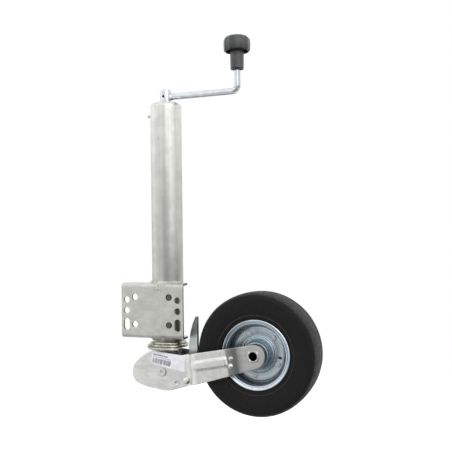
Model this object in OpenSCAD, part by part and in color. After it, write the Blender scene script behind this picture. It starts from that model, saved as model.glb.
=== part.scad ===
// Automatic trailer jockey wheel, cranked fully up with its wheel folded to the side.
// Frame: X along the bracket plate towards the wheel, Y away from the drawbar face, Z up.
// Origin: the middle of the bracket plate's front face, which bolts to the drawbar.

/* [Bracket] */
// Width of the bracket plate
plate_w = 128; // [124:1:140]
// Height of the bracket plate
plate_h = 104; // [100:1:112]
// Thickness of the pressed plate
plate_t = 4; // [3:0.5:4]
// Depth of the flanges, from the front face
flange_depth = 29; // [26:0.5:29]
// Diameter of every bolt hole and width of the slots
hole_d = 12.5; // [10.5:0.5:13]
// Distance between the two inner columns of holes
inner_dx = 71; // [69:1:73]
// Distance between the two inner rows of holes
inner_dz = 52; // [48:1:54]
// Distance between the two outer columns of holes
outer_dx = 106; // [105:1:108]
// Distance between the two round holes of an outer column
outer_dz = 20.5; // [19:0.5:22]
// Overall length of the slot at the foot of each outer column
slot_len = 23; // [18:1:24]

/* [Tubes and spindle] */
// Outer diameter of the fixed tube
tube_d = 60; // [60:1:60]
// Wall of the fixed tube
tube_wall = 3; // [2.5:0.5:3]
// Top of the fixed tube
tube_top = 398; // [390:1:420]
// Bottom of the fixed tube
tube_bottom = -58; // [-60:1:-58]
// Outer diameter of the inner tube
inner_d = 51; // [50:0.5:51]
// Outer diameter of the lifting thread
thread_d = 20; // [18:1:20]
// Pitch of the lifting thread
thread_pitch = 4; // [3:1:5]

/* [Crank] */
// Distance from the tube's axis to the knob's axis
crank_r = 147; // [130:1:160]
// Diameter of the crank rod
rod_d = 12; // [11:1:13]
// Diameter of the knob
knob_d = 50; // [46:1:54]
// Height of the knob above the arm, from its sleeve to its top
knob_h = 60; // [58:1:70]

/* [Fork] */
// Height of the fold pivot
pivot_z = -114; // [-116:1:-113]
// Distance along X from the fold pivot to the axle
axle_dx = 184; // [180:1:190]
// Height of the axle above the fold pivot
axle_dz = 39.5; // [37:0.5:42]
// Thickness of the fork plates
fork_t = 4; // [3:0.5:4]
// Half of the gap between the fork plates at the pivot
fork_root = 28; // [28:0.5:29]
// Half of the gap between the fork plates beside the tyre
fork_wide = 42; // [38:1:44]
// Half of the gap between the fork plates at the axle
fork_end = 39; // [37:1:41]

/* [Wheel] */
// Diameter of the tyre
tyre_d = 224; // [210:1:226]
// Width of the tyre
tyre_w = 65; // [60:1:70]
// Diameter of the rim's lip
lip_d = 128; // [120:1:130]
// Radius of the circle of rim rivets
rivet_r = 40; // [38:1:42]

/* [Hidden] */
$fn = 64;

// Clearances
run_gap = 0.05;      // radial, in a running fit
part_gap = 0.3;      // between bodies that don't fit together
seat_gap = 0.02;     // radial, where a piece is fixed in its hole
past = 1;            // how far a cutting shape runs past a face

// Bracket
bend_r = 7;                     // outer radius of the pressed bends
flange_corner_r = 8;
outer_row_z = outer_dz;         // upper round hole of an outer column
slot_z = -26;                   // middle of the slots
tube_x = 18;                    // the fixed tube's axis
tube_y = 34.5;
tube_r = tube_d / 2;
bore_r = tube_r - tube_wall;
bead_w = 5;                     // leg of the weld beads
bead_start = 193;               // the flanges hold the tube's front half
bead_sweep = 154;

// Top of the tube
roll_r = 9;                     // rolled-in edge
mouth_r = 14;                   // hole that the spindle's neck turns in
neck_r = 11;
nipple_z = 375;

// Thrust bearing, from the cap down
race_out = 20.9;
race_in = 11.2;
upper_race_top = tube_top - tube_wall;
upper_race_t = 5;
ball_r = 3;
ball_circle = 17.5;
ball_count = 12;
ball_z = upper_race_top - upper_race_t - part_gap - ball_r;
lower_race_t = 2.6;
lower_race_top = ball_z - ball_r;
collar_top = lower_race_top - lower_race_t;
collar_t = 6;
collar_r = 20;

// Spindle and crank
thread_r = thread_d / 2;
thread_depth = 1.6;
thread_top = collar_top - collar_t - 20;
spindle_bottom = 98;
head_top = tube_top + 25.5;
arm_z = tube_top + 12;
rod_r = rod_d / 2;
arm_bend = 10;                  // radius of the bend's middle line
arm_inset = 8;                  // how far the rod runs past the head's axis
head_pin_r = 3;
stop_t = 4;
stop_r = 20;

// Knob
knob_bottom = arm_z + 40;
knob_top = knob_bottom + knob_h;
knob_head_h = 27;
knob_r = knob_d / 2;
flute_count = 12;
flute_r = 4.2;
sleeve_low_r = 12.4;
sleeve_high_r = 13;
rod_end = knob_top - 8;
knob_floor = knob_top - 15;     // top of the knob's bore
cap_t = 5;
cap_r = 17;

// Inner tube
inner_r = inner_d / 2;
inner_wall = 3;
inner_top = 345;
inner_bottom = pivot_z + 28;    // it stands on the pivot head
guide_h = 12;
nut_h = 26;

// Pivot head
head_half = 27;                 // half width across the fork
head_r = 24;
pin_r = 8;
bush_wall = 2;
head_top_z = 28;                // top of the block, above the pivot
plug_h = 42;                    // plug in the foot of the inner tube

// Finger that lines the wheel up with the bracket
finger_t = 8;
finger_in = 44.5;               // from the tube's axis
finger_out = 62;
finger_top = 102;               // above the pivot
finger_root = 14;               // where its slot in the pivot head starts
finger_low = -4.5;
finger_step = 25.9;

// Spring
wire_r = 3;
coil_top_r = 30;
coil_low_r = 39.5;
coil_top_z = tube_bottom - part_gap - wire_r;
coil_low_z = pivot_z + 39.7 + wire_r;
coil_turns = 2.25;              // the turns nest, 0.1 mm apart
coil_start = -120;

// Fork
step_x0 = 59;                   // outward step beside the spring
step_x1 = 68.5;
joggle_x0 = 131;                // inward step beside the rim
joggle_x1 = 143;
end_r = 21.5;
end_drop = 1.2;                 // the round end's centre, below the axle
axle_x = tube_x + axle_dx;
axle_z = pivot_z + axle_dz;
rib_r = 9.5;
rib_h = 3;
stop_pin_x = 50.8;
stop_pin_z = -13.6;
stop_pin_r = 5;
dimple_x = 32;
dimple_z = -20;
dimple_r = 4;
dimple_h = 1.8;
axle_r = 10;
axle_bore_r = 7.5;
flare_r = 12;
label_t = 0.3;

// Wheel
tyre_r = tyre_d / 2;
half_w = tyre_w / 2;
lip_r = lip_d / 2;
seat_r = 54.5;                  // outside of the rim's barrel
shoulder_r = 8;
lip_y = half_w - 2.5;           // outer face of the rim's lips
sheet = 2.5;                    // rim sheet
seat_half = lip_y - sheet - 0.2; // half width of the tyre between the lips
joint_y = -5;                   // plane where the rim halves meet
rivet_count = 5;
rivet_hole_r = 4;
hub_out = 17;
hub_in = 14;
hub_half = 33;
bush_len = 16;

// Points of an arc, for outlines
function arc(x, y, r, a0, a1, n = 10) =
    [for (i = [0:n]) let(a = a0 + (a1 - a0) * i / n) [x + r * cos(a), y + r * sin(a)]];

// Places
module on_tube() { translate([tube_x, tube_y, 0]) children(); }
module on_pivot() { translate([tube_x, tube_y, pivot_z]) children(); }
module on_wheel() { translate([axle_x, tube_y, axle_z]) rotate([90, 0, 0]) children(); }
module on_knob() { translate([tube_x + crank_r, tube_y, 0]) children(); }

// A ring that stands on z
module ring(r_out, r_in, z, h) {
    translate([0, 0, z]) difference() {
        cylinder(r = r_out, h = h);
        translate([0, 0, -past]) cylinder(r = r_in, h = h + 2 * past);
    }
}

// A round bar along Y, centred on y = 0
module cross_bar(r, half) { rotate([90, 0, 0]) translate([0, 0, -half]) cylinder(r = r, h = 2 * half); }

// Housing ------------------------------------------------------------------

// Section of the bracket: a block with round front corners
module rounded_front(depth, h, r) {
    union() {
        translate([r, -h / 2]) square([depth - r, h]);
        translate([0, r - h / 2]) square([r + past, h - 2 * r]);
        for (side = [-1, 1]) translate([r, side * (h / 2 - r)]) circle(r = r);
    }
}

module bracket_section() {
    difference() {
        rounded_front(flange_depth, plate_h, bend_r);
        translate([plate_t, 0])
            rounded_front(flange_depth, plate_h - 2 * plate_t, bend_r - plate_t);
    }
}

// Plan of the bracket, with its far corners rounded
module bracket_plan() {
    union() {
        translate([-plate_w / 2, 0]) square([plate_w, flange_depth - flange_corner_r]);
        translate([flange_corner_r - plate_w / 2, 0])
            square([plate_w - 2 * flange_corner_r, flange_depth]);
        for (side = [-1, 1])
            translate([side * (plate_w / 2 - flange_corner_r), flange_depth - flange_corner_r])
                circle(r = flange_corner_r);
    }
}

module plate_hole(x, z) {
    translate([x, -past, z]) rotate([-90, 0, 0]) cylinder(d = hole_d, h = plate_t + 2 * past);
}

module plate_slot(x, z) {
    run = (slot_len - hole_d) / 2;
    plate_hole(x, z - run);
    plate_hole(x, z + run);
    translate([x - hole_d / 2, -past, z - run]) cube([hole_d, plate_t + 2 * past, 2 * run]);
}

module bracket_plate() {
    color("#c9cac6") difference() {
        intersection() {
            translate([-plate_w / 2, 0, 0]) rotate([90, 0, 90])
                linear_extrude(height = plate_w) bracket_section();
            translate([0, 0, -plate_h]) linear_extrude(height = 2 * plate_h) bracket_plan();
        }
        on_tube() translate([0, 0, -plate_h]) cylinder(r = tube_r + seat_gap, h = 2 * plate_h);
        for (side = [-1, 1]) {
            for (level = [-1, 1]) plate_hole(side * inner_dx / 2, level * inner_dz / 2);
            plate_hole(side * outer_dx / 2, outer_row_z);
            plate_hole(side * outer_dx / 2, outer_row_z - outer_dz);
            plate_slot(side * outer_dx / 2, slot_z);
        }
    }
}

module outer_tube() {
    color("#c4c6c3") on_tube() rotate_extrude() {
        translate([bore_r, tube_bottom])
            square([tube_wall, tube_top - roll_r - tube_bottom]);
        translate([tube_r - roll_r, tube_top - roll_r]) intersection() {
            difference() {
                circle(r = roll_r);
                circle(r = roll_r - tube_wall);
            }
            square(roll_r + past);
        }
        translate([mouth_r, tube_top - tube_wall])
            square([tube_r - roll_r - mouth_r, tube_wall]);
    }
}

// A bead round the front of the tube, on the outer face of a flange
module weld_bead(z, up) {
    rotate([0, 0, bead_start]) rotate_extrude(angle = bead_sweep)
        polygon([for (p = [[0, 0], [1, 0], [0.75, 0.35], [0.4, 0.7], [0, 1]])
            [tube_r + p[0] * bead_w, z + up * p[1] * bead_w]]);
}

module weld_beads() {
    color("#b3b5b2") on_tube() for (up = [-1, 1]) weld_bead(up * plate_h / 2, up);
}

module grease_nipple() {
    color("#d8d9d4") translate([tube_x - tube_r, tube_y, nipple_z]) rotate([0, -90, 0]) {
        cylinder(r = 4.4, h = 2.6);
        cylinder(r = 2.4, h = 5);
        translate([0, 0, 4.6]) sphere(r = 2.6);
    }
}

module top_bush() {
    color("#2f3033") on_tube() ring(mouth_r - seat_gap, neck_r + run_gap,
        upper_race_top, tube_wall + 0.6);
}

module upper_race() {
    color("#8f949a") on_tube() ring(race_out, race_in, upper_race_top - upper_race_t, upper_race_t);
}

module lower_guide_bush() {
    color("#2f3033") on_tube() ring(bore_r - seat_gap, inner_r + run_gap, tube_bottom + 1, 38);
}

// Crank --------------------------------------------------------------------

// Half section of the spindle; the thread is drawn as rings of the same pitch
module spindle_section() {
    rings = floor((thread_top - spindle_bottom) / thread_pitch);
    thread_points = [for (i = [0:rings - 1])
        let(z = spindle_bottom + i * thread_pitch)
        each [[thread_r - thread_depth, z], [thread_r, z + 0.25 * thread_pitch],
              [thread_r, z + 0.5 * thread_pitch], [thread_r - thread_depth, z + 0.75 * thread_pitch]]];
    polygon(concat(
        [[0, spindle_bottom]], thread_points,
        [[thread_r, thread_top], [thread_r, collar_top], [neck_r, collar_top],
         [neck_r, head_top - 1.5], [neck_r - 1.5, head_top], [0, head_top]]));
}

module spindle() {
    color("#dfe3e6") on_tube() difference() {
        rotate_extrude() spindle_section();
        translate([-arm_inset, 0, arm_z]) rotate([0, 90, 0])
            cylinder(r = rod_r + seat_gap, h = neck_r + arm_inset + past);
        translate([0, 0, arm_z]) cross_bar(head_pin_r + seat_gap, neck_r + past);
        translate([0, 0, spindle_bottom + stop_t / 2]) cross_bar(1.5, thread_r + past);
    }
}

module thrust_collar() {
    color("#9fa3a6") on_tube() ring(collar_r, thread_r + seat_gap, collar_top - collar_t, collar_t);
}

module lower_race() {
    color("#8f949a") on_tube() ring(race_out, race_in, collar_top, lower_race_t);
}

module ball_at(i) {
    rotate([0, 0, i * 360 / ball_count]) translate([ball_circle, 0, ball_z]) children();
}

module thrust_balls() {
    color("#b9bdc2") on_tube() for (i = [0:ball_count - 1]) ball_at(i) sphere(r = ball_r);
}

module ball_cage() {
    color("#b48a3c") on_tube() difference() {
        ring(ball_circle + 3.4, ball_circle - 3.4, ball_z - 0.8, 1.6);
        for (i = [0:ball_count - 1]) ball_at(i)
            translate([0, 0, -past]) cylinder(r = ball_r + 0.15, h = 2 * past);
    }
}

module end_stop_washer() {
    color("#9fa3a6") on_tube() ring(stop_r, thread_r + seat_gap, spindle_bottom, stop_t);
}

module crank_arm() {
    color("#dfe3e6") difference() {
        union() {
            on_tube() translate([-arm_inset, 0, arm_z]) rotate([0, 90, 0])
                cylinder(r = rod_r, h = arm_inset + crank_r - arm_bend);
            on_knob() translate([-arm_bend, 0, arm_z + arm_bend]) rotate([90, 0, 0])
                rotate([0, 0, -90]) rotate_extrude(angle = 90)
                    translate([arm_bend, 0]) circle(r = rod_r);
            on_knob() translate([0, 0, arm_z + arm_bend])
                cylinder(r = rod_r, h = rod_end - arm_z - arm_bend);
        }
        on_tube() translate([0, 0, arm_z]) cross_bar(head_pin_r + seat_gap, neck_r + past);
    }
}

module head_pin() {
    color("#c9ccd0") on_tube() translate([0, 0, arm_z]) difference() {
        cross_bar(head_pin_r, neck_r + 0.3);
        cross_bar(head_pin_r - 1, neck_r + past);
    }
}

module knob_retainer() {
    color("#9fa3a6") on_knob() ring(rod_r + 3.5, rod_r + seat_gap, rod_end - 4, 1.5);
}

// Knob ---------------------------------------------------------------------

module crank_knob() {
    color("#303236") on_knob() difference() {
        rotate_extrude() {
            // sleeve, from its mouth up to the floor of the knob
            polygon([[rod_r + 0.08, knob_bottom], [sleeve_low_r, knob_bottom],
                [sleeve_high_r, knob_top - knob_head_h], [sleeve_high_r, knob_floor + 1],
                [rod_r + 0.08, knob_floor + 1]]);
            // shell of the head, open below
            polygon([[sleeve_high_r, knob_floor - 4], [knob_r - 3.6, knob_floor - 4],
                [knob_r - 3.6, knob_top - knob_head_h], [knob_r, knob_top - knob_head_h],
                [knob_r, knob_top - 5], [knob_r - 1.5, knob_top - 1.8], [knob_r - 5, knob_top],
                [cap_r, knob_top], [cap_r, knob_floor], [rod_r + 0.08, knob_floor],
                [rod_r + 0.08, knob_floor - 4]]);
        }
        for (i = [0:flute_count - 1]) rotate([0, 0, i * 360 / flute_count])
            translate([knob_r + flute_r - 1.6, 0, knob_top - knob_head_h - past])
                cylinder(r = flute_r, h = knob_head_h + 2 * past);
    }
}

module knob_cap() {
    color("#303236") on_knob() translate([0, 0, knob_top - cap_t])
        cylinder(r = cap_r - seat_gap, h = cap_t);
}

// Inner tube ---------------------------------------------------------------

module upper_guide_ring() {
    color("#d9d6c8") on_tube()
        ring(bore_r - 0.35, thread_r + 2, inner_top + part_gap, guide_h);
}

module inner_tube() {
    color("#b9bbb8") on_tube()
        ring(inner_r, inner_r - inner_wall, inner_bottom, inner_top - inner_bottom);
}

module spindle_nut() {
    color("#b48a3c") on_tube() ring(inner_r - inner_wall - seat_gap, thread_r + run_gap,
        inner_top - nut_h - 1, nut_h);
}

// Block that closes the inner tube and carries the fold pivot
module pivot_head() {
    color("#8d908f") on_pivot() difference() {
        union() {
            translate([0, 0, head_top_z - past])
                cylinder(r = inner_r - inner_wall - seat_gap, h = plug_h + past);
            rotate([90, 0, 0]) translate([0, 0, -head_half]) linear_extrude(height = 2 * head_half)
                union() {
                    circle(r = head_r);
                    translate([-head_r, 0]) square([2 * head_r, head_top_z]);
                    // toe that the fork's dimples meet when the wheel is down
                    polygon([[-head_r, 0], [-head_r, -20], [-18.5, -29.5], [-8, -20], [0, 0]]);
                }
        }
        cross_bar(pin_r + bush_wall + seat_gap, head_half + past);
        // slot that the finger is welded in
        translate([finger_root, -finger_t / 2 - seat_gap, finger_low - seat_gap])
            cube([40, finger_t + 2 * seat_gap, finger_step - finger_low + 2 * seat_gap]);
    }
}

module pivot_bush() {
    color("#b48a3c") on_pivot() difference() {
        cross_bar(pin_r + bush_wall, head_half);
        cross_bar(pin_r + run_gap, head_half + past);
    }
}

module pivot_washers() {
    color("#d9d6c8") on_pivot() for (side = [-1, 1]) translate([0, side * (head_half + 0.35), 0])
        difference() {
            cross_bar(14, 0.34);
            cross_bar(pin_r + 0.4, past);
        }
}

module alignment_finger() {
    color("#a9b4bb") on_pivot() rotate([90, 0, 0]) translate([0, 0, -finger_t / 2])
        linear_extrude(height = finger_t) polygon(concat(
            [[finger_root + seat_gap, finger_low], [54, finger_low], [finger_out, 6]],
            [[finger_out, finger_top - 1.5], [finger_out - 1.5, finger_top], [finger_out - 4, finger_top]],
            [[finger_out - 10, finger_top - 14], [finger_out - 15, finger_top - 32],
             [finger_in, finger_top - 54], [finger_in, 36], [40, 31], [30, finger_step],
             [finger_root + seat_gap, finger_step]]));
}

// Spring -------------------------------------------------------------------

// Middle line of the conical spring; u runs from 0 at the top to 1 at the foot
function coil_angle(u) = coil_start + 360 * coil_turns * u;
function coil_point(u) = let(a = coil_angle(u), r = coil_top_r + (coil_low_r - coil_top_r) * u)
    [r * cos(a), r * sin(a), coil_top_z + (coil_low_z - coil_top_z) * u];

module buffer_spring() {
    steps = 75;
    sides = 12;
    rings = [for (i = [0:steps]) let(u = i / steps, p = coil_point(u), a = coil_angle(u))
        [for (k = [0:sides - 1]) let(b = 360 * k / sides)
            [p[0] + wire_r * cos(b) * cos(a), p[1] + wire_r * cos(b) * sin(a), p[2] + wire_r * sin(b)]]];
    points = [for (loop = rings) each loop];
    walls = [for (i = [0:steps - 1], k = [0:sides - 1]) let(m = (k + 1) % sides)
        each [[i * sides + k, i * sides + m, (i + 1) * sides + m],
              [i * sides + k, (i + 1) * sides + m, (i + 1) * sides + k]]];
    ends = [[for (k = [sides - 1:-1:0]) k], [for (k = [0:sides - 1]) steps * sides + k]];
    color("#a8a48c") on_tube() polyhedron(points = points, faces = concat(walls, ends));
}

// Fork ---------------------------------------------------------------------

// Outline of a fork plate, from the pivot
module fork_outline() {
    polygon(concat(
        arc(-38, -1, 24, 150, 240, 8),
        [[-28, -30.5]],
        arc(8, 20, 55, -105, -68, 6),
        arc(axle_dx, axle_dz - end_drop, end_r, -73, 101.4, 18),
        [[74, 40.2], [step_x0, 36.3], [40, 33], [-8, 38.4], [-22, 38.2], [-29, 35.6],
         [-37, 30.8], [-46, 24.4], [-53, 17.6]]));
}

// Plan of a pressed plate: root, step out past the tyre, joggle in at the rim
module fork_plan() {
    inner = [[-70, fork_root], [step_x0, fork_root], [step_x1, fork_wide],
        [joggle_x0, fork_wide], [joggle_x1, fork_end], [axle_dx + 30, fork_end]];
    lean = 2.2;                 // keeps the sheet's thickness on the slopes
    outer = [[axle_dx + 30, fork_end + fork_t], [joggle_x1 + 1, fork_end + fork_t],
        [joggle_x0 + 1, fork_wide + fork_t], [step_x1 - lean, fork_wide + fork_t],
        [step_x0 - lean, fork_root + fork_t], [-70, fork_root + fork_t]];
    polygon(concat(inner, outer));
}

module fork_rib() {
    translate([0, fork_wide + fork_t - past, 0]) rotate([-90, 0, 0]) linear_extrude(height = rib_h + past)
        union() {
            translate([81, -20]) rotate(-8.8) translate([0, -rib_r]) square([52, 2 * rib_r]);
            translate([83, -20.3]) circle(r = rib_r);
        }
}

// A plate on the +Y side of the fork
module fork_plate() {
    difference() {
        union() {
            intersection() {
                rotate([90, 0, 0]) translate([0, 0, -60]) linear_extrude(height = 120) fork_outline();
                translate([0, 0, -60]) linear_extrude(height = 140) fork_plan();
            }
            fork_rib();
            translate([dimple_x, fork_root + past, dimple_z]) rotate([90, 0, 0])
                cylinder(r = dimple_r - 0.4, h = dimple_h + past);
        }
        cross_bar(pin_r + seat_gap, 60);
        translate([stop_pin_x, 0, stop_pin_z]) cross_bar(stop_pin_r + seat_gap, 60);
        translate([axle_dx, 0, axle_dz]) cross_bar(axle_r + seat_gap, 60);
        translate([dimple_x, fork_root + fork_t - dimple_h, dimple_z]) rotate([-90, 0, 0])
            cylinder(r = dimple_r, h = 10);
    }
}

module fork_plate_near() { color("#cbccc8") on_pivot() mirror([0, 1, 0]) fork_plate(); }

module fork_plate_far() { color("#cbccc8") on_pivot() fork_plate(); }

// A riveted pin across the fork, with low heads
module riveted_pin(shank, head, head_h) {
    cross_bar(shank, fork_root + fork_t);
    for (side = [-1, 1]) translate([0, side * (fork_root + fork_t + head_h / 2), 0])
        cross_bar(head, head_h / 2);
}

module pivot_pin() { color("#b9bcbc") on_pivot() riveted_pin(pin_r, pin_r + 0.8, 0.5); }

module stop_pin() {
    color("#b9bcbc") on_pivot() translate([stop_pin_x, 0, stop_pin_z])
        riveted_pin(stop_pin_r, stop_pin_r + 1, 1.2);
}

module axle_tube() {
    color("#b9bcbc") translate([axle_x, tube_y, axle_z]) difference() {
        union() {
            cross_bar(axle_r, fork_end + fork_t);
            for (side = [-1, 1]) translate([0, side * (fork_end + fork_t + 0.75), 0])
                cross_bar(flare_r, 0.75);
        }
        cross_bar(axle_bore_r, fork_end + fork_t + 2 * past);
    }
}

module axle_spacers() {
    color("#8d908f") translate([axle_x, tube_y, axle_z]) for (side = [-1, 1])
        translate([0, side * (hub_half + part_gap + fork_end) / 2, 0]) difference() {
            cross_bar(hub_in, (fork_end - hub_half - part_gap) / 2);
            cross_bar(axle_r + seat_gap, 10);
        }
}

module blank_label() {
    color("#f1f0f2") on_pivot() translate([0, -fork_root - fork_t, 0]) rotate([90, 0, 0])
        linear_extrude(height = label_t) difference() {
            polygon([[-19, 38], [-8, 38.2], [40, 32.8], [52, 34.8], [48, 1.5], [-19, 14.5]]);
            circle(r = pin_r + 1.5);
        }
}

// Wheel --------------------------------------------------------------------

// The wheel's revolved sections are drawn as [radius, distance along the axle];
// on_wheel() turns the axle's +Z into -Y, the near side.

module tyre_section() {
    union() {
        translate([lip_r + 2, -half_w + shoulder_r]) square([tyre_r - lip_r - 2, tyre_w - 2 * shoulder_r]);
        translate([lip_r + 10, -half_w]) square([tyre_r - lip_r - 10 - shoulder_r, tyre_w]);
        for (side = [-1, 1]) {
            translate([tyre_r - shoulder_r, side * (half_w - shoulder_r)]) circle(r = shoulder_r);
            translate([lip_r + 10, side * (half_w - shoulder_r)]) circle(r = shoulder_r);
        }
        // seat between the rim's lips, chamfered where the barrel flares
        polygon([[lip_r + 6, -seat_half], [seat_r + 1.7, -seat_half], [seat_r + seat_gap, -seat_half + 3.4],
            [seat_r + seat_gap, seat_half - 3.4], [seat_r + 1.7, seat_half], [lip_r + 6, seat_half]]);
    }
}

module tyre() { color("#232426") on_wheel() rotate_extrude($fn = 120) tyre_section(); }

// Section of a rim half whose disc lies on z = 0 and whose lip reaches z = depth
module rim_section(depth, boss) {
    front = [[lip_r - 0.4, depth - 2.2], [lip_r - 0.8, depth - 0.7], [lip_r - 2.5, depth],
        [seat_r + 2.5, depth], [seat_r, depth - 1], [seat_r - 2.2, depth - 4],
        [seat_r - 3.6, sheet + 5], [seat_r - 5, sheet + 2], [seat_r - 8, sheet],
        [33, sheet], [31.8, sheet + 1.2], [30.6, sheet + 1.2], [27, sheet + 0.6],
        [24, boss - 3], [22.5, boss], [hub_out + seat_gap, boss]];
    back = [[hub_out + seat_gap, boss - sheet], [20.6, boss - sheet], [22, boss - 6],
        [25, 0], [seat_r - 8, 0], [seat_r - 3.2, 0], [seat_r - 1.2, 3], [seat_r - 0.2, depth - 6],
        [seat_r + 1.4, depth - sheet], [lip_r - 0.4, depth - sheet]];
    polygon(concat(front, back));
}

module rim_holes() {
    for (i = [0:rivet_count - 1]) rotate([0, 0, 45 + i * 360 / rivet_count])
        translate([rivet_r, 0, -50]) cylinder(r = rivet_hole_r + seat_gap, h = 100);
    // drain hole
    rotate([0, 0, -9]) translate([rivet_r, 0, -50]) cylinder(r = 1.8, h = 100);
}

module rim_half_near() {
    color("#9fb1bd") on_wheel() difference() {
        translate([0, 0, -joint_y]) rotate_extrude($fn = 96) rim_section(lip_y + joint_y, lip_y + joint_y - 3);
        rim_holes();
    }
}

module rim_half_far() {
    color("#9fb1bd") on_wheel() difference() {
        translate([0, 0, -joint_y]) mirror([0, 0, 1]) rotate_extrude($fn = 96)
            rim_section(lip_y - joint_y, lip_y - joint_y - 3);
        rim_holes();
    }
}

module rim_rivets() {
    color("#c3b9bd") on_wheel() for (i = [0:rivet_count - 1]) rotate([0, 0, 45 + i * 360 / rivet_count])
        translate([rivet_r, 0, -joint_y]) {
            translate([0, 0, -sheet]) cylinder(r = rivet_hole_r, h = 2 * sheet);
            for (side = [0, 1]) mirror([0, 0, side]) translate([0, 0, sheet])
                cylinder(r1 = rivet_hole_r + 1, r2 = rivet_hole_r + 0.3, h = 1);
        }
}

module hub_tube() {
    color("#8d908f") on_wheel() translate([0, 0, -hub_half]) ring(hub_out, hub_in, 0, 2 * hub_half);
}

module hub_bushes() {
    color("#2f3033") on_wheel() for (side = [0, 1]) mirror([0, 0, side])
        ring(hub_in - seat_gap, axle_r + run_gap, hub_half - bush_len, bush_len);
}

bracket_plate();
outer_tube();
weld_beads();
grease_nipple();
top_bush();
upper_race();
lower_guide_bush();
spindle();
thrust_collar();
lower_race();
thrust_balls();
ball_cage();
end_stop_washer();
crank_arm();
head_pin();
knob_retainer();
crank_knob();
knob_cap();
upper_guide_ring();
inner_tube();
spindle_nut();
pivot_head();
pivot_bush();
pivot_washers();
alignment_finger();
buffer_spring();
fork_plate_near();
fork_plate_far();
pivot_pin();
stop_pin();
axle_tube();
axle_spacers();
blank_label();
tyre();
rim_half_near();
rim_half_far();
rim_rivets();
hub_tube();
hub_bushes();
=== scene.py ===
"""Looks for the trailer jockey wheel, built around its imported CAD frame.

Shapes are worked out in millimetres and turned into metres when their mesh is made.
X runs along the bracket plate towards the wheel, Y away from the drawbar face, Z up.
"""

import random
from contextlib import contextmanager
from math import atan2, copysign, cos, hypot, pi, radians, sin, sqrt, tan

import bmesh
import bpy
from mathutils import Matrix, Vector
from mathutils.geometry import delaunay_2d_cdt


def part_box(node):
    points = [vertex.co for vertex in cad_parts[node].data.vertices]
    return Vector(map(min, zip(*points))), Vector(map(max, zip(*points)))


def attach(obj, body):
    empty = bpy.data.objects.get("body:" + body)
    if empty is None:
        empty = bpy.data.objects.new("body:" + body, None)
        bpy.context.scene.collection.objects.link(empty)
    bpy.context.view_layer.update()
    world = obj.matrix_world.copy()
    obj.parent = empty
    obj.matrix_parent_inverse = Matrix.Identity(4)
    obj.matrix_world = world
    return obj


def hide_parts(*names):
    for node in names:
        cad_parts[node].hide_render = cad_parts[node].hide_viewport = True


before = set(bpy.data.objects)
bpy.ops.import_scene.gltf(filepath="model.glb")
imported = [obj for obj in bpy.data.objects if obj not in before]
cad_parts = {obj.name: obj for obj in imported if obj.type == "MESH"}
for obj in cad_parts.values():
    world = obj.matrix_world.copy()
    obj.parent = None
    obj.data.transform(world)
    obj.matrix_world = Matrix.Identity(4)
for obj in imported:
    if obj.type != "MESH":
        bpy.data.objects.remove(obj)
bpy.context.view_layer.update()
MM = 0.001
TAU = 2 * pi
shift = Matrix.Translation


# --- Places, from the frame ---

def box_mm(node):
    low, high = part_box(node)
    return low / MM, high / MM


def middle(node):
    low, high = box_mm(node)
    return (low + high) / 2


TUBE = middle("inner_tube")
PIVOT = middle("pivot_pin")
AXLE = middle("axle_tube")
KNOB = middle("knob_cap")
TUBE_R = 30
TUBE_LOW, TUBE_HIGH = (corner.z for corner in box_mm("outer_tube"))
FLOOR_Z = -0.6                  # in metres: the wheel stands here when it is fully lowered


def rotation(degrees, axis):
    return Matrix.Rotation(radians(degrees), 4, axis)


on_tube = shift((TUBE.x, TUBE.y, 0))
on_knob = shift((KNOB.x, KNOB.y, 0))
facing_near = rotation(90, "X")     # local +Z to -Y
on_axle = shift(AXLE) @ facing_near


# --- Materials ---

def srgb(r, g, b):
    """A colour from 0-255 values, as linear RGBA."""
    out = []
    for c in (r, g, b):
        c /= 255
        out.append(c / 12.92 if c <= 0.04045 else ((c + 0.055) / 1.055) ** 2.4)
    return (*out, 1.0)


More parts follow.
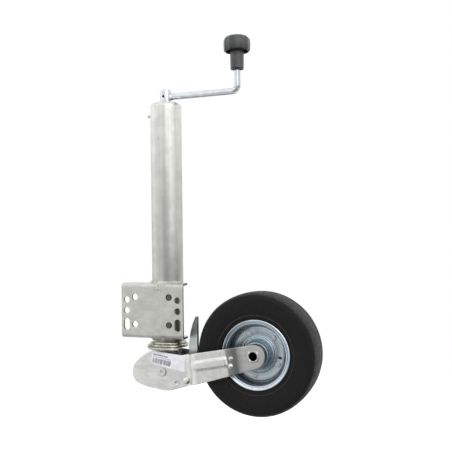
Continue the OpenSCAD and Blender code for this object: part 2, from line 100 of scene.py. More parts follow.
class Graph:
    """A node tree being built; add gives the new node's first output."""

    def __init__(self, tree):
        self.tree = tree

    def set(self, socket, value):
        """Links another node's output to a socket, or sets its plain value."""
        if isinstance(value, bpy.types.NodeSocket):
            self.tree.links.new(value, socket)
        else:
            socket.default_value = value

    def node(self, kind, props=None, args=(), **inputs):
        """A node with its properties, and its inputs by place or by name (an underscore for a space)."""
        made = self.tree.nodes.new(kind)
        for key, value in (props or {}).items():
            setattr(made, key, value)
        for key, value in list(enumerate(args)) + [(k.replace("_", " "), v) for k, v in inputs.items()]:
            self.set(made.inputs[key], value)
        return made

    def add(self, kind, props=None, args=(), **inputs):
        return self.node(kind, props, args, **inputs).outputs[0]

    def math(self, operation, *args):
        return self.add("ShaderNodeMath", {"operation": operation}, args)

    def plus(self, a, b):
        return self.math("ADD", a, b)

    def times(self, a, b):
        return self.math("MULTIPLY", a, b)

    def vector(self, operation, *args):
        made = self.node("ShaderNodeVectorMath", {"operation": operation}, args)
        return made.outputs["Value" if operation in ("LENGTH", "DOT_PRODUCT") else "Vector"]

    def noise(self, scale, detail=3.0, roughness=0.55, distortion=0.0, stretch=None):
        """Noise over a material's surface; a small number in stretch draws it out along that axis."""
        where = self.add("ShaderNodeMapping", Vector=self.where, Scale=stretch) if stretch else self.where
        return self.add("ShaderNodeTexNoise", Vector=where, Scale=scale, Detail=detail,
                        Roughness=roughness, Distortion=distortion)

    def ramp(self, value, low, high, out_low=0.0, out_high=1.0):
        return self.add("ShaderNodeMapRange", {"interpolation_type": "SMOOTHSTEP"},
                        (value, low, high, out_low, out_high))

    def mix(self, factor, a, b, blend="MIX"):
        made = self.tree.nodes.new("ShaderNodeMix")
        made.data_type, made.blend_type = "RGBA", blend
        for place, value in ((0, factor), (6, a), (7, b)):      # 6 and 7 are its two colours
            self.set(made.inputs[place], value)
        return made.outputs[2]


def new_material(name):
    """The graph of a new material, with its shader's inputs and the place on the surface in metres."""
    material = bpy.data.materials.new(name)
    material.use_nodes = True
    g = Graph(material.node_tree)
    g.material, g.shader = material, material.node_tree.nodes["Principled BSDF"].inputs
    g.where = g.node("ShaderNodeTexCoord").outputs["Object"]
    return g


def finish_material(g, colour, rough, bump, distance, metallic=1.0, toned=False):
    """Wires the shader and gives the material; a toned surface is shaded by its mesh's tone values, which
    carry mostly painted light and shade.
    """
    if toned:
        tone = g.node("ShaderNodeAttribute", {"attribute_name": "tone"}).outputs["Fac"]
        grey = g.add("ShaderNodeCombineColor", args=(tone, tone, tone))
        colour = g.mix(1.0, colour, grey, "MULTIPLY")
    g.set(g.shader["Metallic"], metallic)
    g.set(g.shader["Base Color"], colour)
    g.set(g.shader["Roughness"], rough)
    g.set(g.shader["Normal"], g.add("ShaderNodeBump", Height=bump, Distance=distance, Strength=1.0))
    return g.material


def plated_steel(name, dark, light, rough, spread=0.06, streak=(1, 1, 1), mottle=45, depth=0.00003,
                 toned=False, scratches=0.0, shaded=None, scuff=None):
    """Zinc-plated steel: cloudy colour, a fine grain, and streaks along one axis where it was drawn.

    scuff is the middle and size of a rubbed spot. The painted-shade argument after scratches gives the
    height where the shade starts, the height where it is full, and its strength; it also shades the side
    towards the tube.
    """
    g = new_material(name)
    cloud = g.noise(mottle, 4.0, 0.6)
    drawn = g.noise(160.0, 3.0, 0.6, stretch=streak)
    fine = g.noise(900.0, 2.0, 0.5)
    blend = g.plus(g.times(cloud, 0.55), g.times(drawn, 0.45))
    colour = g.mix(g.ramp(blend, 0.36, 0.64), srgb(*dark), srgb(*light))
    roughness = g.plus(g.ramp(blend, 0.35, 0.65, rough + spread, rough - spread),
                       g.times(g.math("SUBTRACT", fine, 0.5), 0.12))
    height = g.plus(g.times(fine, 0.5), g.times(drawn, 0.8))
    if scratches:
        lines = g.noise(420.0, 1.0, 0.4, 0.3, stretch=(1.0, 1.0, 0.12))
        marks = g.times(g.ramp(lines, 0.68, 0.74), g.ramp(g.noise(26.0, 2.0), 0.5, 0.62))
        colour = g.mix(g.times(marks, scratches), colour, srgb(120, 118, 112))
    if scuff:
        off = g.vector("DIVIDE", g.vector("SUBTRACT", g.where, scuff[0]), scuff[1])
        rub = g.times(g.ramp(g.vector("LENGTH", off), 1.0, 0.3), g.ramp(g.noise(330.0), 0.4, 0.6))
        colour = g.mix(g.times(rub, 0.7), colour, srgb(120, 117, 112))
    # painted shade: darker above a height and on the side towards the tube
    if shaded:
        low, high, shade = shaded
        place = g.node("ShaderNodeSeparateXYZ", args=(g.where,)).outputs
        tube_side = g.ramp(place["X"], 0.064, 0.058)
        shading = g.times(g.math("MAXIMUM", g.ramp(place["Z"], low, high), tube_side), shade)
        colour = g.mix(shading, colour, srgb(84, 88, 87))
    return finish_material(g, colour, roughness, height, depth, toned=toned)


def passivated_rim():
    """Blue passivated zinc: pink and grey tints in broad patches, and fine rings round the axle."""
    g = new_material("blue_zinc_rim")
    flat = g.vector("MULTIPLY", g.vector("SUBTRACT", g.where, AXLE * MM), (1.0, 0.0, 1.0))
    rings = g.add("ShaderNodeTexNoise", {"noise_dimensions": "1D"},
                  W=g.times(g.vector("LENGTH", flat), 900.0), Scale=1.0, Detail=3.0, Roughness=0.65)
    patch = g.noise(34.0, 3.0, 0.55, 0.6)
    fine = g.noise(700.0, 2.0)
    blue = g.mix(g.ramp(rings, 0.35, 0.65), srgb(170, 186, 196), srgb(214, 225, 232))
    tinted = g.mix(g.times(g.ramp(patch, 0.55, 0.68), 0.3), blue, srgb(196, 162, 178))
    aged = g.mix(g.times(g.ramp(patch, 0.30, 0.42, 1.0, 0.0), 0.35), tinted, srgb(120, 140, 150))
    rough = g.plus(g.ramp(rings, 0.3, 0.7, 0.29, 0.19), g.times(fine, 0.05))
    height = g.plus(rings, g.times(fine, 0.25))
    return finish_material(g, aged, rough, height, 0.00004, toned=True)


def drawn_rod(name, dark, light, rough, toned=False):
    """Bright zinc on drawn bar: fine lines that run along it, faint cloudiness."""
    g = new_material(name)
    level = g.noise(1500.0, 2.0, 0.6, stretch=(0.03, 1.0, 1.0))
    upright = g.noise(1500.0, 2.0, 0.6, stretch=(1.0, 1.0, 0.03))
    lines = g.plus(level, upright)
    blend = g.plus(g.times(g.noise(60.0, 3.0), 0.6), g.times(lines, 0.2))
    colour = g.mix(g.ramp(blend, 0.38, 0.62), srgb(*dark), srgb(*light))
    roughness = g.ramp(blend, 0.35, 0.65, rough + 0.06, rough - 0.04)
    return finish_material(g, colour, roughness, lines, 0.00002, toned=toned)


def moulded(name, dark, light, rough, grain=1400, depth=0.00006, specular=0.5, toned=False):
    """Moulded plastic or nylon with a fine spark-eroded grain."""
    g = new_material(name)
    fine = g.noise(grain, 2.0, 0.5)
    patch = g.noise(50.0, 3.0, 0.6)
    colour = g.mix(g.ramp(g.plus(g.times(patch, 0.7), g.times(fine, 0.3)), 0.35, 0.65),
                   srgb(*dark), srgb(*light))
    roughness = g.plus(g.ramp(patch, 0.35, 0.65, rough - 0.05, rough + 0.06), g.times(fine, 0.08))
    g.set(g.shader["Specular IOR Level"], specular)
    return finish_material(g, colour, roughness, fine, depth, metallic=0.0, toned=toned)


def rubber():
    """Black solid rubber: mould grain, smears and faint dust."""
    g = new_material("tyre_rubber_look")
    fine = g.noise(1600.0, 2.0, 0.6)
    dust = g.noise(70.0, 4.0, 0.65)
    smear = g.noise(240.0, 3.0, 0.6, stretch=(1.0, 0.2, 1.0))
    base = g.mix(g.ramp(smear, 0.35, 0.7), srgb(19, 19, 20), srgb(27, 27, 28))
    dusty = g.mix(g.times(g.ramp(dust, 0.52, 0.75), 0.35), base, srgb(44, 43, 42))
    rough = g.plus(g.ramp(dust, 0.3, 0.7, 0.50, 0.66), g.times(fine, 0.06))
    g.set(g.shader["Specular IOR Level"], 0.22)
    height = g.plus(g.times(fine, 0.6), g.times(smear, 0.4))
    return finish_material(g, dusty, rough, height, 0.00008, metallic=0.0, toned=True)


def paper_label():
    """Glossy adhesive paper, slightly wrinkled and slightly mauve."""
    g = new_material("label_paper")
    crease = g.noise(90.0, 3.0, 0.5, 0.8)
    fibre = g.noise(1800.0, 2.0)
    colour = g.mix(g.ramp(crease, 0.35, 0.65), srgb(196, 195, 201), srgb(210, 209, 214))
    rough = g.ramp(fibre, 0.3, 0.7, 0.36, 0.50)
    return finish_material(g, colour, rough, g.plus(crease, g.times(fibre, 0.06)), 0.0003, metallic=0.0)


UPRIGHT = (1, 1, 0.02)          # streaks that run up a tube
tube_look = plated_steel("galvanised_tube", (200, 200, 195), (216, 216, 212), 0.36, streak=UPRIGHT,
                         scratches=0.35, toned=True)
plate_look = plated_steel("galvanised_plate", (196, 197, 191), (211, 212, 206), 0.36,
                          streak=(0.35, 1, 1), scratches=0.3,
                          scuff=((0.012, 0.0, 0.0395), (0.013, 0.05, 0.0022)))
press_look = plated_steel("galvanised_pressing", (219, 220, 217), (235, 235, 232), 0.33,
                          streak=(0.3, 1, 1), scratches=0.3, toned=True)
weld_look = plated_steel("galvanised_weld", (168, 168, 162), (202, 202, 196), 0.4, mottle=160, depth=0.0001)
inner_look = plated_steel("zinc_inner_tube", (176, 178, 177), (204, 206, 205), 0.28, streak=UPRIGHT)
TURNED = ((168, 171, 170), (204, 206, 204), 0.30)
turned_look = plated_steel("turned_steel", *TURNED, mottle=120)
bore_look = plated_steel("turned_steel_bored", *TURNED, mottle=120, toned=True)
forged_look = plated_steel("forged_steel", (58, 60, 60), (92, 94, 93), 0.42, mottle=90, depth=0.00008)
# painted shade over its upper part and on the side towards the tube
finger_look = plated_steel("blue_zinc_plate", (207, 213, 215), (229, 233, 234), 0.33,
                           streak=(1, 1, 0.08), shaded=(-0.056, -0.038, 0.62))
rivet_look = plated_steel("tinted_zinc", (178, 180, 184), (204, 204, 208), 0.42, mottle=200, toned=True)
spring_look = plated_steel("faded_yellow_zinc", (158, 157, 146), (206, 205, 195), 0.3, mottle=70)
race_look = plated_steel("bearing_steel_look", (150, 154, 160), (186, 190, 196), 0.2, spread=0.03)
# dark look for faces chosen by the way they face: bare cut steel and painted shade
cut_and_shaded_look = plated_steel("cut_edges_and_painted_shade", (84, 86, 84), (118, 120, 117), 0.5, mottle=160)
bronze_look = plated_steel("sintered_bronze", (158, 120, 62), (198, 160, 96), 0.42, mottle=200)
bright_look = drawn_rod("bright_zinc_pin", (204, 212, 218), (228, 233, 237), 0.22)
rod_look = drawn_rod("bright_zinc_rod", (208, 215, 220), (230, 235, 238), 0.24, toned=True)
head_look = drawn_rod("bright_zinc_turned", (202, 209, 214), (222, 227, 231), 0.34)
rim_look = passivated_rim()
tyre_look = rubber()
label_look = paper_label()
knob_look = moulded("knob_grain", (54, 55, 57), (72, 73, 75), 0.33, specular=0.6, toned=True)
# black for painted shade inside holes and bores
hole_black = moulded("unlit_hole", (6, 7, 7), (14, 15, 15), 0.8, specular=0.1)
nylon_look = moulded("black_nylon_look", (26, 26, 28), (40, 40, 42), 0.5)
pale_nylon_look = moulded("white_nylon_look", (206, 202, 186), (224, 220, 206), 0.42)
ink_look = moulded("label_ink", (78, 74, 86), (104, 100, 112), 0.5, grain=2500, depth=0.00001)


# --- Mesh making ---

def fillet(points, radius, steps=4, closed=True):
    """The polyline with each corner rounded; radius is one number, or one for each point."""
    count, out = len(points), []
    for i, point in enumerate(points):
        r = radius[i] if isinstance(radius, (list, tuple)) else radius
        corner = Vector(point)
        to_last, to_next = Vector(points[i - 1]) - corner, Vector(points[(i + 1) % count]) - corner
        half = to_last.angle(to_next) / 2
        if r <= 0 or not 0.02 <= half <= 1.55 or (not closed and i in (0, count - 1)):
            out.append(tuple(corner))
            continue
        reach = min(r / tan(half), 0.49 * to_last.length, 0.49 * to_next.length)
        r = reach * tan(half)
        u, v = to_last.normalized(), to_next.normalized()
        centre = corner + (u + v).normalized() * (r / sin(half))
        start, end = corner + u * reach - centre, corner + v * reach - centre
        turn = start.angle_signed(end)
        for k in range(steps + 1):
            a = -turn * k / steps
            c, s = cos(a), sin(a)
            out.append((centre.x + start.x * c - start.y * s, centre.y + start.x * s + start.y * c))
    return out


@contextmanager
def editing(mesh):
    """The mesh as a bmesh, which is written back at the end."""
    bm = bmesh.new()
    bm.from_mesh(mesh)
    yield bm
    bm.to_mesh(mesh)
    bm.free()


def add_tones(mesh, tones):
    """One brightness for each vertex, which a toned material multiplies its colour by; most of them are
    painted light and shade.
    """
    mesh.attributes.new("tone", "FLOAT", "POINT").data.foreach_set("value", tones)


def new_object(name, data):
    obj = bpy.data.objects.new(name, data)
    bpy.context.scene.collection.objects.link(obj)
    return obj


def make(name, verts, faces, material, body, slot, replaces=(), place=None, angle=32, tone=None):
    """A mesh piece from millimetre points, cleaned, smooth up to the angle given, and riding on its body.

    tone(point) gives its brightness there, and place then moves the points into the frame.
    """
    mesh = bpy.data.meshes.new(name)
    points = [Vector(v) for v in verts]
    tones = [tone(p) for p in points] if tone else None
    if place is not None:
        points = [place @ p for p in points]
    mesh.from_pydata([p * MM for p in points], [], faces)
    if tones:
        add_tones(mesh, tones)
    with editing(mesh) as bm:
        bmesh.ops.remove_doubles(bm, verts=bm.verts, dist=2e-6)
        bmesh.ops.dissolve_degenerate(bm, edges=bm.edges, dist=1e-7)
        bmesh.ops.recalc_face_normals(bm, faces=bm.faces)
    mesh.shade_smooth()
    mesh.set_sharp_from_angle(angle=radians(angle))
    mesh.materials.append(material)
    obj = new_object(name, mesh)
    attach(obj, body)
    if replaces:
        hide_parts(*replaces)
    return obj


def line_bore(obj, axis_point, radius, reach):
    """Makes the faces inside a bore along Y black, as painted shade."""
    obj.data.materials.append(hole_black)
    centre = axis_point * MM
    for face in obj.data.polygons:
        d = face.center - centre
        if hypot(d.x, d.z) < radius * MM and abs(d.y) < reach * MM:
            face.material_index = 1


def join(*parts):
    """Several (verts, faces) as one."""
    verts, faces = [], []
    for v, f in parts:
        base = len(verts)
        verts += [tuple(p) for p in v]
        faces += [[i + base for i in face] for face in f]
    return verts, faces


def moved(part, matrix):
    return [tuple(matrix @ Vector(v)) for v in part[0]], part[1]


def skin(count, rings, wrap=False, closed=True):
    """Quads over rings of count points each; wrap joins the last ring to the first one."""
    faces = []
    for i in range(rings if wrap else rings - 1):
        j = (i + 1) % rings
        for k in range(count if closed else count - 1):
            m = (k + 1) % count
            faces.append((i * count + k, j * count + k, j * count + m, i * count + m))
    return faces


def capped_skin(count, rings):
    """Quads over rings of points, and a face over the first ring and over the last one."""
    last = (rings - 1) * count
    return [(a, d, c, b) for a, b, c, d in skin(count, rings)] + [
        tuple(range(count - 1, -1, -1)), tuple(range(last, last + count))]


def lathe(profile, segments, bend=None, closed=True):
    """A (radius, height) profile turned about Z. bend(radius, height, angle) may move a point."""
    verts = []
    for i in range(segments):
        a = TAU * i / segments
        for r, h in profile:
            if bend:
                r, h = bend(r, h, a)
            verts.append((r * cos(a), r * sin(a), h))
    return verts, skin(len(profile), segments, True, closed)


def sweep_tube(path, radii, sides):
    """A round bar along a path of points; radii has one value for each of them."""
    verts, normal = [], None
    for i, p in enumerate(path):
        ahead = (Vector(path[min(i + 1, len(path) - 1)]) - Vector(path[max(i - 1, 0)])).normalized()
        if normal is None:
            normal = ahead.orthogonal().normalized()
        normal = (normal - ahead * normal.dot(ahead)).normalized()
        side = ahead.cross(normal)
        for k in range(sides):
            a = TAU * k / sides
            verts.append(tuple(Vector(p) + (normal * cos(a) + side * sin(a)) * radii[i]))
    return verts, capped_skin(sides, len(path))


def chamfered_path(points, radius, chamfer):
    """The path and radii of a bar whose two ends are chamfered."""
    start, *between, end = map(Vector, points)
    c1, c2 = (between[0] - start).normalized() * chamfer, (end - between[-1]).normalized() * chamfer
    path = [start, start + c1 * 0.3, start + c1, *between, end - c2, end - c2 * 0.3, end]
    small, medium = radius - chamfer, radius - chamfer * 0.3
    return path, [small, medium, *[radius] * (len(path) - 4), medium, small]


def smooth(t):
    t = min(1.0, max(0.0, t))
    return t * t * (3 - 2 * t)


def soft_ramp(t, soft):
    """A straight ramp from 0 at t 0 to 1 at t 1, with its two bends rounded over soft either way."""
    def area(x):
        return 0.0 if x <= 0 else (x * x / 2 if x <= 1 else x - 0.5)
    return (area(t + soft) - area(t - soft)) / (2 * soft)


def mirrored(section):
    """The other end of a section of (size, height) that is the same both ways up."""
    return [(r, -h) for r, h in reversed(section)]


def polar(x, y, r, a):
    """The point at radius r and angle a, in radians, from (x, y)."""
    return x + r * cos(a), y + r * sin(a)


def arc(x, y, r, a0, a1, steps):
    return [polar(x, y, r, radians(a0 + (a1 - a0) * i / steps)) for i in range(steps + 1)]


def ring_points(x, y, r, count):
    return [polar(x, y, r, TAU * k / count) for k in range(count)]


def bevelled(node, width, material, segments=2, cut=None):
    """Gives a CAD node a material and slightly rounded edges; cut(normal) picks faces by the way they face,
    which get the dark cut look: partly bare cut steel, partly painted shade on faces turned from the light.
    """
    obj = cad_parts[node]
    obj.data.materials.clear()
    obj.data.materials.append(material)
    if cut:
        obj.data.materials.append(cut_and_shaded_look)
        for face in obj.data.polygons:
            face.material_index = 1 if cut(face.normal) else 0
    if width:
        obj.modifiers.new("weld", "WELD").merge_threshold = 1e-6
        flat = obj.modifiers.new("flat", "DECIMATE")
        flat.decimate_type, flat.angle_limit = "DISSOLVE", radians(0.5)
        bevel = obj.modifiers.new("edges", "BEVEL")
        bevel.width, bevel.segments = width * MM, segments
        bevel.limit_method, bevel.angle_limit = "ANGLE", radians(30)
        bevel.use_clamp_overlap = bevel.harden_normals = True


for look, width, nodes in (
        (nylon_look, 0.3, "top_bush lower_guide_bush"),
        (race_look, 0.3, "upper_race lower_race"),
        (race_look, 0, "thrust_balls"),
        (turned_look, 0.3, "thrust_collar end_stop_washer knob_retainer"),
        (bronze_look, 0.3, "spindle_nut"),
        (bronze_look, 0, "ball_cage pivot_bush"),
        (pale_nylon_look, 0.3, "upper_guide_ring"),
        (pale_nylon_look, 0, "pivot_washers"),
        (turned_look, 0.4, "axle_spacers hub_tube"),
        (nylon_look, 0.4, "hub_bushes")):
    for node in nodes.split():
        bevelled(node, width, look)
# the bracket's faces turned to +X or -X and the finger's faces turned to +X get the dark look, partly as
# painted shade
bevelled("bracket_plate", 0.6, plate_look, 3, cut=lambda n: abs(n.x) > 0.5 and abs(n.y) < 0.1)
bevelled("spindle", 0.5, head_look, 3)
bevelled("pivot_head", 0.8, forged_look, 3)
bevelled("alignment_finger", 0.8, finger_look, 3, cut=lambda n: n.x > 0.7)


# --- Sheet metal ---

def resample(points, step):
    out = []
    for i, p in enumerate(points):
        a, b = Vector(p), Vector(points[(i + 1) % len(points)])
        pieces = max(1, round((b - a).length / step))
        out += [tuple(a.lerp(b, k / pieces)) for k in range(pieces)]
    return out


def inside(x, y, loop):
    hit = False
    for i in range(len(loop)):
        (x1, y1), (x2, y2) = loop[i - 1], loop[i]
        if (y1 > y) != (y2 > y) and x < (x2 - x1) * (y - y1) / (y2 - y1) + x1:
            hit = not hit
    return hit


def inward(loop, outer):
    """A unit normal at each point of a loop, pointing into the sheet."""
    twice = sum(a[0] * b[1] - b[0] * a[1] for a, b in zip(loop, loop[1:] + loop[:1]))
    sign = (1 if twice > 0 else -1) * (1 if outer else -1)
    out = []
    for i in range(len(loop)):
        d = Vector(loop[(i + 1) % len(loop)]) - Vector(loop[i - 1])
        out.append(Vector((-d.y, d.x)).normalized() * sign)
    return out


def sheet_part(outline, holes, surface, thick, step, edge, offset=0.0, extra=()):
    """A pressed sheet with its cut edges rounded; its verts are (u, height, w).

    outline and holes lie in the flat, surface(u, w) is the height of its middle, offset lifts that along
    the normal, step is the size of the triangles, and extra gives more points where the surface is finer.
    """
    loops = [(resample(outline, step), True)] + [(h, False) for h in holes]
    normals = [inward(loop, outer) for loop, outer in loops]
    flat, chains = [], []
    for (loop, _), ns in zip(loops, normals):
        base = len(flat)
        flat += [Vector(p) + n * edge for p, n in zip(loop, ns)]
        chains.append(list(range(base, len(flat))))
    rim, *cut_outs = [[tuple(flat[i]) for i in chain] for chain in chains]
    (low_u, high_u), (low_w, high_w) = ((min(v), max(v)) for v in zip(*outline))
    cells = {}

    def cell(x, y):
        return int(x // step), int(y // step)

    def in_sheet(x, y):
        return inside(x, y, rim) and not any(inside(x, y, loop) for loop in cut_outs)

    def clear(x, y):
        """True where no point of the edges or of extra is close."""
        cx, cy = cell(x, y)
        near = (q for i in (-1, 0, 1) for j in (-1, 0, 1) for q in cells.get((cx + i, cy + j), ()))
        return all((q.x - x) ** 2 + (q.y - y) ** 2 > (0.55 * step) ** 2 for q in near)

    flat += [Vector(p) for p in extra]
    for p in flat:
        cells.setdefault(cell(*p), []).append(p)
    row, y = 0, low_w
    while y < high_w:
        x = low_u + (0.5 * step if row % 2 else 0)
        while x < high_u:
            if clear(x, y) and in_sheet(x, y):
                flat.append(Vector((x, y)))
            x += step
        y += step * 0.866
        row += 1
    edges = [(c[i - 1], c[i]) for c in chains for i in range(len(c))]
    points, _, faces, sources, _, _ = delaunay_2d_cdt(flat, edges, [], 0, 1e-5)
    kept = [tuple(f) for f in faces if in_sheet(*(sum(points[i][k] for i in f) / 3 for k in (0, 1)))]
    place = {o: i for i, origin in enumerate(sources) for o in origin}

    def solid(u, w, v):
        """The point over (u, w); v is 1 on the upper face and -1 on the lower one."""
        d = 0.05
        hu = (surface(u + d, w) - surface(u - d, w)) / (2 * d)
        hw = (surface(u, w + d) - surface(u, w - d)) / (2 * d)
        n = Vector((-hu, 1, -hw)).normalized()
        return Vector((u, surface(u, w), w)) + n * (offset + v * thick / 2)

    verts = [solid(*p, v) for v in (1, -1) for p in points]
    count = len(points)
    out_faces = kept + [tuple(i + count for i in reversed(f)) for f in kept]
    shoulder = edge / (thick / 2)
    rows = [(edge * (1 - sin(a)), 1 - shoulder * (1 - cos(a))) for a in map(radians, (30, 60, 90))]
    rows += mirrored(rows)
    for (loop, _), ns, chain in zip(loops, normals, chains):
        rings = [[place[i] for i in chain]]
        for inset, v in rows:
            rings.append([len(verts) + i for i in range(len(loop))])
            verts += [solid(*(Vector(p) + n * inset), v) for p, n in zip(loop, ns)]
        rings.append([place[i] + count for i in chain])
        for a, b in zip(rings, rings[1:]):
            for i in range(len(loop)):
                out_faces.append((a[i - 1], a[i], b[i], b[i - 1]))
    return verts, out_faces


# --- Housing ---

def tube_profile(outer, wall, low, high, roll, mouth):
    """A tube with its top edge rolled in to a mouth."""
    inner = outer - wall
    top = arc(outer - roll, high - roll, roll, 0, 90, 15)
    under = arc(outer - roll, high - roll, roll - wall, 90, 0, 10)
    heights = [low + (high - roll - low) * k / 40 for k in range(1, 40)]
    lip = fillet([(mouth + 3, high), (mouth, high), (mouth, high - wall), (mouth + 3, high - wall)],
                 0.9, 3, closed=False)[1:-1]
    outside = [(outer - 0.5, low), (outer - 0.12, low + 0.12), (outer, low + 0.5)]
    outside += [(outer, z) for z in heights]
    inside_wall = [(inner, high - roll - 1), (inner, low + 0.5), (inner + 0.3, low)]
    return outside + top + lip + under + inside_wall


def tube_tone(p):
    """Painted light: lighter towards the top and darker towards the foot, darker low down on the side
    towards the wheel, and painted shade behind the bracket plate.
    """
    # painted light: brighter up the tube and duller towards its foot
    height = smooth((p.z - 170) / 230)
    low_down = 1 - smooth((p.z - 55) / 120)
    wheel_side = smooth((p.x - 4) / 14) * smooth((4 - p.y) / 16)
    # painted shade on the tube behind the bracket plate
    plate_shade = 0.5 * smooth((-8 - p.y) / 6) if abs(p.z) < 50 else 0.0
    return (0.88 + 0.24 * height) * (1 - 0.36 * low_down * wheel_side) * (1 - plate_shade)


make("fixed_tube", *lathe(tube_profile(TUBE_R, 3, TUBE_LOW, TUBE_HIGH, 9, 14.02), 160), tube_look,
     "housing", "galvanised_steel", ["outer_tube"], on_tube, 40, tube_tone)


def weld_ring(z, up):
    """A rippled bead on a flange of the plate, round the front of the tube; up is the side it lies on."""
    rng = random.Random(3 if up > 0 else 4)
    section = [(-0.6, -0.6), (6.0, -0.3), (5.9, 0.2), (4.6, 1.1), (3.1, 2.3), (1.7, 3.8), (0.6, 5.2),
               (-0.6, 5.3)]
    steps, ripple, swept, plate_bend = 260, 2.3, radians(154), 7
    wander = [rng.uniform(-0.35, 0.35) for _ in range(16)]
    verts = []
    for i in range(steps + 1):
        share = i / steps
        a = radians(193 + 154 * share)
        wave = 0.5 + 0.5 * cos(TAU * (share * swept * 32 / ripple)) ** 3
        k = share * 14
        drift = wander[int(k)] * (1 - k % 1) + wander[int(k) + 1] * (k % 1)
        taper = smooth(min(share, 1 - share) / 0.02) * 0.9 + 0.1
        size = (0.84 + 0.08 * wave + 0.22 * drift) * taper
        for r, h in section:
            r2 = TUBE_R + r * size if r > 0 else TUBE_R + r
            h2 = z + up * h * (size if h >= 0 else 1)
            past_bend = min(6.8, max(0.0, plate_bend - TUBE.y - r2 * sin(a)))
            drop = (plate_bend - sqrt(plate_bend ** 2 - past_bend ** 2)) * (1 - min(1.0, max(0.0, h / 5)))
            verts.append((r2 * cos(a), r2 * sin(a), h2 - up * drop))
    return verts, capped_skin(len(section), steps + 1)


make("weld_bead_rings", *join(weld_ring(52, 1), weld_ring(-52, -1)), weld_look,
     "housing", "galvanised_steel", ["weld_beads"], on_tube, 50)

hexagon = ([(*polar(0, 0, r, radians(60 * k)), h) for r, h in ((4.4, 0), (4.4, 2.2), (3.9, 2.6))
            for k in range(6)], capped_skin(6, 3))
nozzle = lathe([(0.01, 2.4), (2.5, 2.4), (2.5, 3.2), (1.9, 3.9), (1.9, 4.6), (2.5, 5.2), (2.6, 5.9),
                (2.2, 6.7), (1.5, 7.1), (0.6, 7.2), (0.5, 6.6), (0.01, 6.6)], 32)
nipple_place = (shift((TUBE.x - TUBE_R, TUBE.y, middle("grease_nipple").z))
                @ rotation(-90, "Y") @ Matrix.Scale(1.2, 4))
make("grease_nipple_turned", *join(hexagon, nozzle), head_look, "housing", "bright_zinc",
     ["grease_nipple"], nipple_place, 30)


# --- Crank ---

PIN_Z = middle("head_pin").z
ROD_LEFT, ROD_TOP = box_mm("crank_arm")[0].x, box_mm("crank_arm")[1].z
ROD_R, BEND = 6, 10             # the bar, and the bend of its middle line

corner = [(KNOB.x - BEND + BEND * sin(radians(a)), TUBE.y, PIN_Z + BEND - BEND * cos(radians(a)))
          for a in range(0, 91, 5)]
straight = [(ROD_LEFT + 4 + k * (KNOB.x - BEND - ROD_LEFT - 4) / 30, TUBE.y, PIN_Z) for k in range(30)]
crank_rod = sweep_tube(*chamfered_path([(ROD_LEFT, TUBE.y, PIN_Z), *straight, *corner,
                                        (KNOB.x, TUBE.y, ROD_TOP)], ROD_R, 0.8), 56)
collar = lathe(fillet([(6.0, -1.6), (7.1, -1.6), (7.1, 0.9), (6.0, 1.5)], [0, 0.7, 0.9, 0], 4), 48)
collar_at = shift((TUBE.x + 11.2, TUBE.y, PIN_Z)) @ rotation(90, "Y")


def rod_tone(p):
    """Painted reflections: lighter on the lower half of the bar, darker along its top and bottom, and a dark
    line down the part past the bend; p is in the frame. upright is for the part past the bend.
    """
    rise = smooth((p.z - PIN_Z - 3) / 8) * smooth((p.x - KNOB.x + 14) / 6)
    off = p.z - PIN_Z
    level = (1 + 0.3 * smooth((1.5 - off) / 4)) * (1 - 0.45 * smooth((abs(off) - 3.9) / 1.5))
    beside = 0.94 * (p.x - KNOB.x) + 0.34 * (p.y - TUBE.y)
    upright = 0.84 - 0.42 * max(0.0, 1 - abs(beside - 2.4) / 1.9)
    return level * (1 - rise) + upright * rise


make("crank_rod", *join(crank_rod, moved(collar, collar_at)), rod_look, "crank", "bright_zinc",
     ["crank_arm"], None, 34, rod_tone)

pin = lathe(fillet([(2.4, -11.6), (3.05, -11.6), (3.05, 11.6), (2.4, 11.6)], [0.15, 0.3, 0.3, 0.15], 3), 40)
cross_pin = make("crank_cross_pin", *pin, bright_look, "crank", "bright_zinc", ["head_pin"],
                 shift((TUBE.x, TUBE.y, PIN_Z)) @ facing_near, 40)
line_bore(cross_pin, Vector((TUBE.x, TUBE.y, PIN_Z)), 2.6, 11.5)


# --- Knob ---

KNOB_LOW, KNOB_TOP = (corner.z for corner in box_mm("crank_knob"))
HEAD_LOW, HEAD_R = KNOB_TOP - 27, 21.9      # where the head starts, and the radius of its hem
FLUTES = 12


def flute(a):
    """How far round a flute: 0 in the middle of one, 1 on the ridge between two."""
    return abs(2 * ((a * FLUTES / TAU + 0.5) % 1) - 1)


def knob_bend(r, h, a):
    """Shallow hollow flutes in the head, which fade out towards its crown."""
    up = h - HEAD_LOW
    if r < 14 or up < -0.5:
        return r, h
    return r - 1.5 * (1 - flute(a) ** 2) * smooth((r - 14) / 9) * (1 - 0.6 * smooth((up - 20) / 9)), h


DOME = KNOB_TOP + 1.5
knob_section = fillet(
    [(6.08, KNOB_LOW + 3), (10.6, KNOB_LOW), (12.35, KNOB_LOW), (12.4, KNOB_LOW + 1.8),
     (12.7, HEAD_LOW - 9), (12.9, HEAD_LOW + 2), (12.9, KNOB_TOP - 19), (21.4, KNOB_TOP - 19),
     (21.2, HEAD_LOW), (24.2, HEAD_LOW), (25.0, KNOB_TOP - 14), (24.5, DOME - 6),
     (20.5, DOME - 1.8), (17.4, DOME - 0.8), (17.1, DOME - 1.3), (16.8, DOME - 0.7)],
    [0, 0.4, 0.8, 0, 0, 2, 1.5, 1.5, 1.2, 1.8, 8, 4.5, 5.0, 0.3, 0.2, 0.3], 6, closed=False)
knob_section += [(16.8 * (1 - k / 8), DOME - 0.7 * (1 - k / 8) ** 2) for k in range(1, 8)]
WELL_R, WELL_LOW, WELL_HIGH = 11.5, KNOB_TOP - 15, KNOB_TOP - 5     # room for the rod's end and retainer
knob_section += [(0.01, DOME), (0.01, WELL_HIGH), (WELL_R, WELL_HIGH), (WELL_R, WELL_LOW), (6.08, WELL_LOW)]


